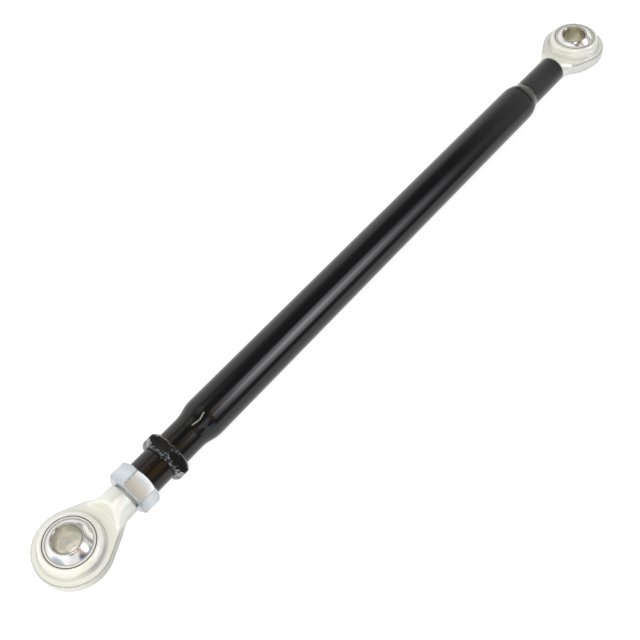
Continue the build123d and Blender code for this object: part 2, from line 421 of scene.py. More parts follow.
def ball_sheets():
    """A sphere between two flats, drilled through: its outline (r, z) goes round Z as (r cos a,
    r sin a, z). The flat's edges and the bore's chamfers are rounded, and ridge is 1 in the bore
    and falls to 0 over its chamfers."""
    rim_r = BORE_R + BORE_RIM
    flat_z = math.sqrt(BALL_R**2 - rim_r**2)
    start = math.degrees(math.asin(flat_z / BALL_R)) - FLAT_EDGE_TURN
    upper = soften(
        line(
            (BORE_R, 0), (BORE_R, flat_z - BORE_CHAMFER),
            (BORE_R + BORE_CHAMFER, flat_z), (rim_r, flat_z),
            (BALL_R * math.cos(math.radians(start)), BALL_R * math.sin(math.radians(start))),
        ),
        BALL_ROUNDS,
    )
    sphere = arc((0, 0), BALL_R, start, -start, BALL_ROWS)
    lower = upper[:0:-1] * (1, -1)
    outline = np.concatenate([upper[:-1], sphere, lower[1:]])
    a = np.linspace(0, 2 * np.pi, BALL_COLUMNS, endpoint=False)
    r, z = outline[:, :1], outline[:, 1:]
    grid = np.stack([r * np.cos(a), r * np.sin(a), z + 0 * a], -1)
    in_bore = np.clip(1 - (r - BORE_R) / (BORE_CHAMFER + BORE_STAIN_RUN), 0, 1)
    return [(grid, True, True, in_bore)]


def lean(axis, centre):
    """The place of a ball whose bore points along axis."""
    turn = Vector((0, 0, 1)).rotation_difference(axis).to_matrix().to_4x4()
    turn.translation = Vector(centre)
    return turn


# Forged eyes

def smooth_max(a, b, width):
    """The larger of two heights, with their crossing filled by a parabola as wide as width."""
    near = np.maximum(width - np.abs(a - b), 0)
    return np.maximum(a, b) + near**2 / (4 * np.maximum(width, 1e-9))


def smooth_min(a, b, width):
    """The smaller of two heights, with their crossing rounded over width."""
    return -smooth_max(-a, -b, width)


def smooth_step(low, high, value):
    """0 below low and 1 above high, with the cubic 3t^2 - 2t^3 between them."""
    t = np.clip((value - low) / (high - low), 0, 1)
    return t * t * (3 - 2 * t)


def tangent_angle():
    """Direction, seen from the eye's centre, in which a straight side leaves the round rim."""
    return math.atan2(SHANK_R, ROOT_LENGTH) + math.acos(EYE_R / math.hypot(ROOT_LENGTH, SHANK_R))


def rim_distance(phi):
    """Distance of the planform's edge from the eye's centre in direction phi: the round rim,
    its tangent sides, or the straight cut where the shank starts."""
    side = EYE_R / np.cos(tangent_angle() - np.abs(phi))
    reach = np.where(np.abs(phi) >= tangent_angle(), EYE_R, side)
    corner = math.atan2(SHANK_R, ROOT_LENGTH)
    return np.where(np.abs(phi) <= corner + 1e-9, ROOT_LENGTH / np.cos(phi), reach)


def eye_height(rho, phi):
    """Half thickness of the eye outside its hub, at distance rho and direction phi: the larger of
    a flat plate with rounded rim and an oval root, h sqrt(1 - (y/w)^2), which a sloping spot
    face cuts down near the hub. The plate fades where the root becomes the round shank."""
    x, y = rho * np.cos(phi), np.abs(rho * np.sin(phi))
    turn = tangent_angle()
    beside = EYE_R - np.where(np.abs(phi) >= turn, rho, x * math.cos(turn) + y * math.sin(turn))
    inside = np.clip(beside, 0, EDGE_ROUND)
    fade = 1 - smooth_step(PLATE_FADE_START, ROOT_LENGTH, x)
    plate = (FACE_Z - EDGE_ROUND + np.sqrt(EDGE_ROUND**2 - (EDGE_ROUND - inside) ** 2)) * fade
    along = np.clip((x - EYE_R * math.cos(turn)) / (ROOT_LENGTH - EYE_R * math.cos(turn)), 0, 1)
    height = FACE_Z + (SHANK_R - FACE_Z) * along
    width = EYE_R * math.sin(turn) + (SHANK_R - EYE_R * math.sin(turn)) * along
    oval = height * np.sqrt(np.clip(1 - (y / width) ** 2, 0, 1))
    past = np.maximum(rho - SPOTFACE_R + SPOTFACE_LEAD, 0)
    ramp = FACE_Z - SPOTFACE_DROP + past * (SHANK_R - FACE_Z) / RAMP_RUN
    root = smooth_min(oval, ramp, RAMP_BLEND)
    return smooth_max(plate, root, ROOT_BLEND * fade + 1e-6)


def forged_wave(points):
    """The uneven skin of a forging: a sum of slow sine waves over x and y, from 0 to -1."""
    x, y = points[..., 0], points[..., 1]
    along = np.sin(x * 0.31 + 1.7 * np.sin(y * 0.17))
    across = np.sin(y * 0.41 + 2.1 * np.sin(x * 0.13) + 1.0)
    return (along + across - 2) / 4


def hub_outline():
    """The (r, z) outline of the hub, from inside the lip to the face: rolled lip, groove, rounded
    bead, and the boss that it stands in, with a fillet at its foot."""
    lip_end = math.sqrt(SOCKET_R**2 - LIP_Z**2) + LIP_WIDTH
    bead_start = lip_end + GROOVE_WIDTH
    bead_r = BEAD_END_R - bead_start
    deep_z = LIP_Z - LIP_DEPTH
    lip = soften(
        line(
            (math.sqrt(SOCKET_R**2 - deep_z**2), deep_z),
            (math.sqrt(SOCKET_R**2 - LIP_Z**2), LIP_Z),
            (lip_end, LIP_Z),
            (lip_end + 0.3 * GROOVE_WIDTH, LIP_Z - GROOVE_DEPTH),
            (lip_end + 0.7 * GROOVE_WIDTH, LIP_Z - GROOVE_DEPTH),
            (bead_start, LIP_Z - BEAD_START_DROP),
            (bead_start + BEAD_START_RUN, LIP_Z),
        ),
        (0.3, 0.45, 0.2, 0.2, 0.25),
    )
    bead = arc((bead_start, LIP_Z - bead_r), bead_r, 78, 0, 16)
    foot = soften(
        line(
            (BEAD_END_R, LIP_Z - bead_r - 0.2), (BEAD_END_R, STEP_TOP[1]),
            STEP_TOP, STEP_EDGE, FLANK_END, (FOOT_R, FACE_Z), (FOOT_R + 0.6, FACE_Z),
        ),
        (0.07, 0.07, 0.2, 0.8, 0.5),
        4,
    )
    return np.concatenate([lip[:-1], bead, foot])


def eye_shade(rho, z, phi, reach, lip_r):
    """How much painted shade darkens the eye's face at distance rho, height z and direction phi: 1 in
    the groove behind the lip, and less at the lip's inner edge, at the boss's foot, on its flank,
    where it falls off as the cube of the cosine from one direction, and along the face's outer edge."""
    in_groove = (z < LIP_Z - GROOVE_SHADE_DROP) & (rho > lip_r + GROOVE_SHADE_START)
    in_groove = in_groove & (rho < BEAD_END_R - GROOVE_SHADE_STOP)
    shade = np.where(in_groove, 1.0, 0.0)
    shade = np.maximum(shade, np.where(rho < lip_r + LIP_SHADE_WIDTH, LIP_SHADE, 0.0))
    at_foot = smooth_step(FLANK_END[1] + FOOT_SHADE_HEIGHT, FACE_Z, z)
    at_foot = at_foot * (1 - smooth_step(FOOT_R, FOOT_R + FOOT_SHADE_RUN, rho))
    shade = np.maximum(shade, FOOT_SHADE * at_foot * (rho > BEAD_END_R))
    side = np.clip(np.cos(phi - math.radians(FLANK_DIRECTION)), 0, 1) ** 3
    on_flank = (rho > BEAD_END_R) * smooth_step(FACE_Z - FLANK_FADE, FACE_Z + FLANK_FADE, z)
    on_flank = on_flank * (rho < FOOT_R + FLANK_SHADE_RUN)
    shade = np.maximum(shade, FLANK_SHADE * side * on_flank)
    low_x, high_x = PLATE_FADE_START - EDGE_SHADE_FADE, PLATE_FADE_START + EDGE_SHADE_FADE
    at_edge = smooth_step(EDGE_SHADE_START, EDGE_SHADE_FULL, reach - rho) * (rho > FOOT_R)
    at_edge = at_edge * (1 - smooth_step(low_x, high_x, rho * np.cos(phi)))
    return np.maximum(shade, EDGE_SHADE * at_edge)


def eye_sheets():
    """The eye on both sides of its middle plane, as heights over rays from its centre, with its
    outer wall and its spherical socket. Rays towards the shank end on the shank's circle. Ridge is
    the face's painted shade, and one level of painted shade on the wall."""
    beta = np.linspace(-np.pi / 2, np.pi / 2, SHANK_COLUMNS)
    towards_shank = np.arctan2(SHANK_R * np.sin(beta), ROOT_LENGTH)
    rim = np.linspace(towards_shank[-1], 2 * np.pi + towards_shank[0], RIM_COLUMNS + 2)
    phi = np.concatenate([towards_shank, rim[1:-1]])
    signed = (phi + np.pi) % (2 * np.pi) - np.pi
    reach = rim_distance(signed)
    hub = hub_outline()
    hub_r, hub_z = hub[:, :1] + 0 * phi, hub[:, 1:] + 0 * phi
    t = 1 - (1 - np.linspace(0, 1, FACE_ROWS + 1)[1:, None]) ** 1.5
    face_r = hub[-1, 0] + (reach - hub[-1, 0]) * t
    face_z = eye_height(face_r, signed)
    rho, z = np.concatenate([hub_r, face_r]), np.concatenate([hub_z, face_z])
    shade = eye_shade(rho, z, phi, reach, hub[0, 0])
    upper = np.stack([rho * np.cos(phi), rho * np.sin(phi), z], -1)
    outside = smooth_step(FOOT_R, FOOT_R + 4, rho)
    outside = outside * (1 - smooth_step(PLATE_FADE_START, ROOT_LENGTH - 1, upper[..., 0]))
    upper[..., 2] += FORGED_WAVE * forged_wave(upper) * outside
    draft = WALL_DRAFT * (1 - smooth_step(PLATE_FADE_START, ROOT_LENGTH, upper[..., 0]))
    draft = draft * smooth_step(FOOT_R, EYE_R, rho)
    upper[..., 0] -= draft * np.cos(phi)
    upper[..., 1] -= draft * np.sin(phi)
    lower = upper * (1, 1, -1)
    around = np.r_[SHANK_COLUMNS - 1:len(phi), 0]
    edge, edge_draft = upper[-1, around], draft[-1, around]
    level = np.linspace(1, -1, WALL_ROWS)[:, None]
    out = edge_draft * (1 - np.abs(level))
    wall = np.stack([
        edge[:, 0] + out * np.cos(phi[around]),
        edge[:, 1] + out * np.sin(phi[around]),
        edge[:, 2] * level,
    ], -1)
    low = math.degrees(math.asin(hub[0, 1] / SOCKET_R))
    socket = arc((0, 0), SOCKET_R, low, -low, SOCKET_ROWS)
    r, z = socket[:, :1], socket[:, 1:]
    socket = np.stack([r * np.cos(phi), r * np.sin(phi), z + 0 * phi], -1)
    return [
        (upper, False, True, shade), (lower, False, True, shade),
        (wall, False, False, WALL_SHADE), (socket, False, True, 0.0),
    ]


def thread_depth(turns):
    """Depth of a 60 degree thread below its crest, as a share of the full depth, at a number of
    turns along the screw: a triangle wave cut off flat at the crest and at the root."""
    t = np.abs((turns % 1) * 2 - 1)
    return np.clip((1 - t - THREAD_CREST) / THREAD_FLANK, 0, 1)


def stud_sheets(shank_end, thread_r, end, hand):
    """The shank as a surface of revolution from the eye's root, then the thread, whose row k
    follows the helix x = pitch (k / rows a turn + hand a / 2 pi), held between the relief and the
    stud's end. Ridge is painted shade at the shank's end next to the nut and in the thread roots."""
    count = 2 * (SHANK_COLUMNS - 1)
    beta = np.linspace(-np.pi / 2, 3 * np.pi / 2, count + 1)
    relief_r = thread_r - RELIEF_DEPTH
    relief_end = shank_end + RELIEF_WIDTH
    shank = [(ROOT_LENGTH, SHANK_R)]
    cuts = []
    if shank_end > ROOT_LENGTH + SHANK_CHAMFER:
        shank += [(shank_end - SHANK_CHAMFER, SHANK_R), (shank_end, SHANK_R - SHANK_CHAMFER)]
        cuts += [0.4, 0.25]
    else:
        shank += [(shank_end + STEP, SHANK_R)]
        cuts += [0.0]
    shank += [(shank_end + STEP, relief_r), (relief_end, relief_r)]
    outline = soften(line(*shank), cuts + [0.6])
    x, r = outline[:, :1], outline[:, 1:]
    plain = np.stack([x + 0 * beta, r * np.sin(beta), r * np.cos(beta)], -1)
    turns = (end - relief_end) / THREAD_PITCH + 1
    rows = np.arange(int(THREAD_ROWS * turns) + 2)[:, None] / THREAD_ROWS
    turn = (beta - beta[0]) / (2 * np.pi)
    turn = turn if hand > 0 else 1 - turn
    x = np.clip(relief_end + THREAD_PITCH * (rows - 1 + turn), relief_end, end)
    r = thread_r - THREAD_DEPTH * thread_depth(rows)
    r = np.minimum(r, relief_r + (x - relief_end) * RELIEF_SLOPE)
    tip_r = thread_r - STUD_CHAMFER - STUD_TIP_INSET
    r = np.minimum(r, tip_r + (end - x))
    thread = np.stack([x, r * np.sin(beta), r * np.cos(beta)], -1)
    # Painted shade darkens the thread roots by their depth
    root = THREAD_SHADE * np.broadcast_to(thread_depth(rows), x.shape)
    cap_r = np.array([tip_r, tip_r / 2, 0.0])[:, None]
    cap = np.stack([end + 0 * cap_r * beta, cap_r * np.sin(beta), cap_r * np.cos(beta)], -1)
    # Painted shade on the shank's last millimetres before the nut
    unshaded_x, shaded_x = shank_end - SHANK_SHADE_START, shank_end - SHANK_SHADE_FULL
    stain_and_shade = SHANK_SHADE * smooth_step(unshaded_x, shaded_x, outline[:, :1]) + 0 * beta
    return [(plain, False, False, stain_and_shade), (thread, False, False, root), (cap, False, False, 0.0)]


# Hexagons

def hexagon_radius(angle, flats):
    """Distance of a hexagon's side from its centre in direction angle: half the width over the
    cosine within each sector, its corners slightly rounded."""
    sector = (angle + np.pi / 6) % (np.pi / 3) - np.pi / 6
    flat = flats / 2 / np.cos(sector)
    corner = flats / math.sqrt(3) * HEX_CORNER_SHARE + 0 * flat
    return smooth_min(flat, corner, HEX_CORNER_ROUND)


def hexagon_angles():
    """Directions round a hexagon, closer together near its six corners."""
    share = np.linspace(-1, 1, HEX_COLUMNS // 6, endpoint=False)
    bunched = np.sin(share * np.pi / 2) * np.pi / 6
    return np.concatenate([bunched + k * np.pi / 3 for k in range(6)])


def hexagon_sheets(
    low_x, high_x, flats, roll, bore_r, countersink, face_share, slope, edge_cut, corner_wear
):
    """A hexagon ring about X whose corners a cone turns off at both ends. Each direction has its
    own half outline (x, r): bore, end face, cone x = slope (r - face) and flat side. Ridge marks
    the edges, as painted shade on the nut and as wear on the collar, and, by the share given for
    each corner, the near end's cone."""
    angle = hexagon_angles()
    side = hexagon_radius(angle, flats)
    face_r = flats / 2 * face_share
    middle = (low_x + high_x) / 2
    start = (side - face_r) * slope
    flat = np.stack([low_x + start, side], -1)
    level = 0 * angle

    def ring(x, r):
        return np.stack([x + level, r + level], -1)

    bore = ring(middle, bore_r)
    mouth_in = ring(low_x + countersink, bore_r)
    mouth = ring(low_x, bore_r + countersink)
    face = ring(low_x, face_r)
    parts = [bore[None]]
    if countersink > 0:
        parts += [bend(bore, mouth_in, mouth, HEX_MOUTH_CUT)]
        parts += [bend(mouth_in, mouth, face, HEX_MOUTH_CUT)]
    else:
        parts += [bend(bore, mouth, face, HEX_MOUTH_CUT)]
    parts += [bend(mouth, face, flat, edge_cut), bend(face, flat, ring(middle, side), edge_cut)]
    half = np.concatenate(parts + [ring(middle, side)[None]])
    other = half[::-1] * (-1, 1) + (2 * middle, 0)
    outline = np.concatenate([half, other[1:-1]])
    turned = angle + math.radians(roll) + np.pi / 2
    x, r = outline[..., 0], outline[..., 1]
    grid = np.stack([x, -r * np.cos(turned + np.pi / 3), -r * np.sin(turned + np.pi / 3)], -1)
    corner = smooth_step(CORNER_WEAR_START, 1.0, side / side.max())
    rows = np.zeros(len(half))
    rows[-2 * BEND_POINTS - 1:-1] = 1.0
    both = np.concatenate([rows, rows[::-1][1:-1]])[:, None]
    share = np.array(corner_wear)[np.floor(angle / (np.pi / 3)).astype(int) % 6]
    on_cone = (r > face_r + CONE_WEAR_INSET) & (both > 0) & (x < middle)
    ridge = np.where(on_cone, np.maximum(EDGE_WEAR_AND_SHADE, corner * share), EDGE_WEAR_AND_SHADE * both)
    return [(grid, True, True, ridge)]


# Tube

def swage(x0, r0, x1, r1, turn, count):
    """Two arcs from (x0, r0) to (x1, r1) that leave and arrive level and meet at the share turn of
    the way, drawn as parabolas with the same slope where they meet."""
    t = np.linspace(0, 1, count)
    first = t**2 / turn
    second = 1 - (1 - t) ** 2 / (1 - turn)
    share = np.where(t < turn, first, second)
    return np.stack([x0 + (x1 - x0) * t, r0 + (r1 - r0) * share], -1)


def tube_sheets():
    """The tube as one closed outline (x, r) round X: both swaged necks outside, the holes for the
    studs and the hollow inside."""
    near_neck, far_neck = TUBE_X0 + NEAR_NECK_LENGTH, TUBE_X1 - FAR_NECK_LENGTH
    near_full, far_full = near_neck + NEAR_TAPER_LENGTH, far_neck - FAR_TAPER_LENGTH
    near_hole, far_hole = NEAR_THREAD_R + THREAD_GAP, FAR_THREAD_R + THREAD_GAP
    wide = TUBE_R - TUBE_WALL
    near_end = soften(
        line(
            (TUBE_X0 + HOLE_LEAD, near_hole), (TUBE_X0, near_hole),
            (TUBE_X0, NEAR_NECK_R - NECK_CHAMFER), (TUBE_X0 + NECK_CHAMFER, NEAR_NECK_R),
            (near_neck, NEAR_NECK_R),
        ),
        (0.2, 0.25, 0.25),
    )
    far_end = soften(
        line(
            (far_neck, FAR_NECK_R),
            (TUBE_X1 - NECK_CHAMFER, FAR_NECK_R), (TUBE_X1, FAR_NECK_R - NECK_CHAMFER),
            (TUBE_X1, far_hole), (TUBE_X1 - HOLE_LEAD, far_hole),
        ),
        (0.25, 0.25, 0.2),
    )
    straight_x = np.linspace(near_full, far_full, TUBE_ROWS)[1:-1]
    outline = np.concatenate([
        near_end[:-1],
        swage(near_neck, NEAR_NECK_R, near_full, TUBE_R, NEAR_TAPER_TURN, TAPER_ROWS),
        np.stack([straight_x, np.full(len(straight_x), TUBE_R)], -1),
        swage(far_full, TUBE_R, far_neck, FAR_NECK_R, FAR_TAPER_TURN, TAPER_ROWS),
        far_end[1:],
        line((far_neck, far_hole), (far_full, wide), (near_full, wide), (near_neck, near_hole)),
    ])
    return [round_x(outline, TUBE_COLUMNS)]


# Materials

def put(tree, kind, inputs=None, **settings):
    """A shader node with its settings. Each input is set to a value or linked to a socket."""
    made = tree.nodes.new(kind)
    for name, value in settings.items():
        setattr(made, name, value)
    for name, value in (inputs or {}).items():
        if isinstance(value, bpy.types.NodeSocket):
            tree.links.new(value, made.inputs[name])
        else:
            made.inputs[name].default_value = value
    return made


def math_node(tree, operation, a, b=0.0, clamp=False):
    """The result socket of a Math node."""
    made = put(tree, "ShaderNodeMath", {0: a, 1: b}, operation=operation, use_clamp=clamp)
    return made.outputs[0]


def mix_colour(tree, factor, a, b, kind="MIX"):
    """The result socket of a colour mix."""
    made = put(tree, "ShaderNodeMix", {0: factor, 6: a, 7: b}, data_type="RGBA", blend_type=kind)
    return made.outputs[2]


def between(tree, value, from_low, from_high, to_low=0.0, to_high=1.0, kind="SMOOTHSTEP"):
    """The value carried from one range to another and held at both ends."""
    inputs = {
        "Value": value, "From Min": from_low, "From Max": from_high,
        "To Min": to_low, "To Max": to_high,
    }
    return put(tree, "ShaderNodeMapRange", inputs, interpolation_type=kind).outputs["Result"]


def dot_with(tree, way, direction):
    """The dot product of a direction socket with a fixed direction."""
    made = put(tree, "ShaderNodeVectorMath", {0: way, 1: direction}, operation="DOT_PRODUCT")
    return made.outputs["Value"]


def cone_mask(tree, way, direction, inner, outer):
    """1 within inner degrees of a direction, falling to 0 at outer degrees."""
    gone, full = math.cos(math.radians(outer)), math.cos(math.radians(inner))
    return between(tree, dot_with(tree, way, direction), gone, full)


def ridge_of(tree):
    """The mesh's ridge attribute."""
    return put(tree, "ShaderNodeAttribute", attribute_name="ridge").outputs["Fac"]


def ramp(tree, value, stops, smooth="EASE"):
    """A colour read from a list of (place, level or colour) stops."""
    made = put(tree, "ShaderNodeValToRGB", {"Fac": value})
    band = made.color_ramp
    band.interpolation = smooth
    while len(band.elements) < len(stops):
        band.elements.new(1.0)
    for element, (place, colour) in zip(band.elements, stops):
        element.position = place
        element.color = (*(colour if isinstance(colour, tuple) else (colour,) * 3), 1)
    return made.outputs["Color"]


def new_group(name, inputs, outputs):
    """An empty shader node group with float inputs and the named outputs."""
    group = bpy.data.node_groups.new(name, "ShaderNodeTree")
    for label, default in inputs.items():
        socket = group.interface.new_socket(label, in_out="INPUT", socket_type="NodeSocketFloat")
        socket.default_value = default
    for label in outputs:
        group.interface.new_socket(label, in_out="OUTPUT", socket_type="NodeSocketFloat")
    return group, group.nodes.new("NodeGroupInput").outputs, group.nodes.new("NodeGroupOutput")


def grain_group():
    """Two sizes of noise on object coordinates, as a mask from 0 to 1."""
    defaults = {"Coarse scale": 60.0, "Fine scale": 600.0, "Fine share": 0.5}
    group, inputs, out = new_group("grain", defaults, ["Mask"])
    place = put(group, "ShaderNodeTexCoord").outputs["Object"]
    coarse, fine = (
        put(group, "ShaderNodeTexNoise", {"Vector": place, "Scale": inputs[size], "Detail": detail})
        for size, detail in (("Coarse scale", 3.0), ("Fine scale", 4.0))
    )
    sizes = {0: inputs["Fine share"], 2: coarse.outputs["Fac"], 3: fine.outputs["Fac"]}
    mixed = put(group, "ShaderNodeMix", sizes, data_type="FLOAT")
    group.links.new(mixed.outputs[0], out.inputs["Mask"])
    return group


def speck_group():
    """Sparse small spots, such as dust and pits: cells whose random value passes the threshold."""
    group, inputs, out = new_group("specks", {"Scale": 500.0, "Size": 0.25, "Share": 0.2}, ["Mask"])
    place = put(group, "ShaderNodeTexCoord").outputs["Object"]
    cells = put(group, "ShaderNodeTexVoronoi", {"Vector": place, "Scale": inputs["Scale"]})
    chosen = put(group, "ShaderNodeSeparateColor", {"Color": cells.outputs["Color"]}).outputs["Red"]
    rare = math_node(group, "LESS_THAN", chosen, inputs["Share"])
    reach = math_node(group, "DIVIDE", cells.outputs["Distance"], inputs["Size"])
    small = math_node(group, "SUBTRACT", 1.0, reach, True)
    group.links.new(math_node(group, "MULTIPLY", rare, small), out.inputs["Mask"])
    return group


def wear_group():
    """Paint rubbed off along ridges: the mesh's ridge attribute broken up by noise."""
    group, inputs, out = new_group("ridge_wear", {"Scale": 300.0, "Amount": 0.5}, ["Mask"])
    place = put(group, "ShaderNodeTexCoord").outputs["Object"]
    ridge = ridge_of(group)
    values = {"Vector": place, "Scale": inputs["Scale"], "Detail": 5.0}
    noise = put(group, "ShaderNodeTexNoise", values).outputs["Fac"]
    level = math_node(group, "ADD", noise, math_node(group, "MULTIPLY", ridge, inputs["Amount"]))
    group.links.new(between(group, level, 0.78, 0.95), out.inputs["Mask"])
    return group


def use_group(tree, group, **inputs):
    """A group's Mask in a material, with its own values."""
    values = {name.replace("_", " "): value for name, value in inputs.items()}
    return put(tree, "ShaderNodeGroup", values, node_tree=group).outputs["Mask"]


def new_material(name, **principled):
    """A material with one Principled shader, whose constant sockets are set here."""
    material = bpy.data.materials.new(name)
    material.use_nodes = True
    tree = material.node_tree
    shader = tree.nodes["Principled BSDF"]
    for label, value in principled.items():
        shader.inputs[label.replace("_", " ")].default_value = value
    return material, tree, shader


def feed(tree, shader, **sockets):
    """Links sockets to the Principled shader's inputs."""
    for label, socket in sockets.items():
        tree.links.new(socket, shader.inputs[label.replace("_", " ")])


def bump(tree, height, strength, distance_mm):
    """The normal that a height map gives."""
    values = {"Height": height, "Strength": strength, "Distance": distance_mm * METRES}
    return put(tree, "ShaderNodeBump", values).outputs["Normal"]


def black_paint(groups, name, worn):
    """Gloss black paint with a faint orange peel, dust, brown blotches on the near neck that are
    painted glints of reflection and, where worn is set, bare grey along the ridges."""
    material, tree, shader = new_material(name, IOR=1.5)
    place = put(tree, "ShaderNodeTexCoord").outputs["Object"]
    along = put(tree, "ShaderNodeSeparateXYZ", {"Vector": place}).outputs["X"]
    grain = use_group(tree, groups["grain"], Coarse_scale=35.0, Fine_scale=420.0, Fine_share=0.35)
    dust = use_group(tree, groups["specks"], Scale=330.0, Size=0.16, Share=0.05)
    # Painted reflection: brown glints in blotches on the near neck
    neck_start, neck_end = TUBE_X0 + PAINT_BROWN_START, TUBE_X0 + PAINT_BROWN_END
    neck = between(tree, along, neck_start * METRES, neck_end * METRES, 1.0, 0.0)
    brown = math_node(tree, "MULTIPLY", neck, between(tree, grain, 0.45, 0.6))
    colour = mix_colour(tree, grain, *PAINT_BLACKS)
    colour = mix_colour(tree, brown, colour, PAINT_BROWN)
    colour = mix_colour(tree, math_node(tree, "MULTIPLY", dust, 0.35), colour, DUST)
    rough = between(tree, grain, 0.35, 0.65, 0.08, 0.12)
    if worn:
        wear = use_group(tree, groups["wear"], Scale=700.0, Amount=0.44)
        colour = mix_colour(tree, wear, colour, WORN_GREY)
        rough = math_node(tree, "ADD", rough, math_node(tree, "MULTIPLY", wear, 0.3))
    feed(tree, shader, Base_Color=colour, Roughness=rough, Normal=bump(tree, grain, 0.25, 0.05))
    return material


def eye_zinc(groups):
    """Bright zinc plate over a forged skin: pale with a greenish cream cast, satin, finely grained,
    and darkened by painted shade from the ridge attribute in grooves and where the forging is shaded."""
    material, tree, shader = new_material("eye_zinc_plate", Metallic=0.45)
    grain = use_group(tree, groups["grain"], Coarse_scale=45.0, Fine_scale=900.0, Fine_share=0.4)
    cast = use_group(tree, groups["grain"], Coarse_scale=28.0, Fine_scale=160.0, Fine_share=0.3)
    pits = use_group(tree, groups["specks"], Scale=420.0, Size=0.22, Share=0.12)
    colour = mix_colour(tree, between(tree, cast, 0.35, 0.65), *EYE_PLATES)
    colour = mix_colour(tree, math_node(tree, "MULTIPLY", pits, 0.2), colour, EYE_PITS)
    # Painted shade: the ridge attribute darkens the groove, foot, flank and edges of the eye
    painted_shade = ridge_of(tree)
    colour = mix_colour(tree, math_node(tree, "MULTIPLY", painted_shade, 0.85), colour, EYE_SHADE_TINT)
    rough = between(tree, grain, 0.3, 0.7, 0.34, 0.46)
    height = math_node(tree, "SUBTRACT", grain, math_node(tree, "MULTIPLY", pits, 0.6))
    feed(tree, shader, Base_Color=colour, Roughness=rough, Normal=bump(tree, height, 0.3, 0.12))
    return material


def nut_zinc(groups):
    """Bluish zinc plate on a machined nut, with painted shade darkening its edges."""
    material, tree, shader = new_material("nut_zinc_plate", Metallic=0.62)
    grain = use_group(tree, groups["grain"], Coarse_scale=90.0, Fine_scale=1200.0, Fine_share=0.4)
    colour = mix_colour(tree, between(tree, grain, 0.4, 0.6), *NUT_PLATES)
    edge = ridge_of(tree)
    # Painted shade: the nut's edges are darkened by the ridge attribute
    colour = mix_colour(tree, math_node(tree, "MULTIPLY", edge, 0.7), colour, NUT_EDGE_SHADE)
    rough = between(tree, grain, 0.3, 0.7, 0.17, 0.23)
    feed(tree, shader, Base_Color=colour, Roughness=rough, Normal=bump(tree, grain, 0.12, 0.03))
    return material


def polished_ball(groups, centre):
    """Ground and polished steel, with a duller, stained bore and a dark line of painted shade round
    its rim, where the ridge attribute falls from 1 to 0."""
    material, tree, shader = new_material("ball_polish_%d" % round(centre[0]), Metallic=1.0)
    grain = use_group(tree, groups["grain"], Coarse_scale=70.0, Fine_scale=1500.0, Fine_share=0.5)
    bored = ridge_of(tree)
    colour = mix_colour(tree, between(tree, grain, 0.4, 0.6), *BALL_STEELS)
    stain_and_shade = use_group(tree, groups["grain"], Coarse_scale=75.0, Fine_scale=160.0, Fine_share=0.3)
    bore = mix_colour(tree, between(tree, stain_and_shade, 0.42, 0.6), *BORE_STEELS)
    colour = mix_colour(tree, bored, colour, bore)
    # Painted shade: a dark line round the bore's rim
    rim = math_node(tree, "MULTIPLY", bored, math_node(tree, "SUBTRACT", 1.0, bored))
    colour = mix_colour(tree, math_node(tree, "MULTIPLY", rim, 2.4), colour, BORE_RIM_SHADE)
    rough = between(tree, grain, 0.3, 0.7, 0.15, 0.21)
    rough = math_node(tree, "ADD", rough, math_node(tree, "MULTIPLY", bored, 0.12))
    feed(tree, shader, Base_Color=colour, Roughness=rough, Normal=bump(tree, grain, 0.08, 0.03))
    return material


# Studio

def studio_floor():
    """A pale round floor. The camera sees it almost white, with the object's shadow kept, and
    reflections see it dim on the near side and bright on the far one, with a painted shadow at one
    place beside the near eye."""
    ring = np.linspace(0, 2 * np.pi, FLOOR_CORNERS, endpoint=False)
    rim_x, rim_y = FLOOR_RADIUS * np.cos(ring) + FLOOR_SHIFT, FLOOR_RADIUS * np.sin(ring)
    rim = np.stack([rim_x, rim_y, np.full(FLOOR_CORNERS, FLOOR_Z)], -1)
    mesh = bpy.data.meshes.new("floor")
    mesh.from_pydata(rim * METRES, [], [tuple(range(FLOOR_CORNERS))])
    floor = bpy.data.objects.new("floor", mesh)
    bpy.context.scene.collection.objects.link(floor)
    material = bpy.data.materials.new("pale_floor")
    material.use_nodes = True
    tree = material.node_tree
    tree.nodes.remove(tree.nodes["Principled BSDF"])
    path = put(tree, "ShaderNodeLightPath").outputs
    shine = math_node(tree, "MAXIMUM", path["Is Glossy Ray"], path["Is Transmission Ray"])
    seen = math_node(tree, "MAXIMUM", path["Is Camera Ray"], shine)
    plain = put(tree, "ShaderNodeBsdfDiffuse", {"Color": FLOOR_WHITE}).outputs[0]
    soft = put(tree, "ShaderNodeBsdfDiffuse", {"Color": FLOOR_SHADOW_GREY}).outputs[0]
    place = put(tree, "ShaderNodeTexCoord").outputs["Object"]
    x, y, _ = put(tree, "ShaderNodeSeparateXYZ", {"Vector": place}).outputs
    reflected = between(tree, y, *FLOOR_ALONG_Y)
    reflected = math_node(tree, "MAXIMUM", reflected, between(tree, x, *FLOOR_ALONG_X))
    # Painted shadow: reflections see the floor darker round one place beside the near eye
    both_places = {0: place, 1: Vector(FLOOR_SHADE_PLACE) * METRES}
    away = put(tree, "ShaderNodeVectorMath", both_places, operation="DISTANCE").outputs["Value"]
    inner, outer = FLOOR_SHADE_INNER * METRES, FLOOR_SHADE_OUTER * METRES
    away = between(tree, away, inner, outer, FLOOR_SHADE_LEVEL, 1.0)
    reflected = math_node(tree, "MULTIPLY", reflected, away)
    levels = {0: shine, 2: FLOOR_GLOW, 3: reflected}
    level = put(tree, "ShaderNodeMix", levels, data_type="FLOAT").outputs[0]
    glow = put(tree, "ShaderNodeEmission", {"Color": WHITE, "Strength": level}).outputs[0]
    lit = put(tree, "ShaderNodeAddShader", {0: soft, 1: glow}).outputs[0]
    both = put(tree, "ShaderNodeMixShader", {0: seen, 1: plain, 2: lit}).outputs[0]
    tree.links.new(both, tree.nodes["Material Output"].inputs["Surface"])
    mesh.materials.append(material)


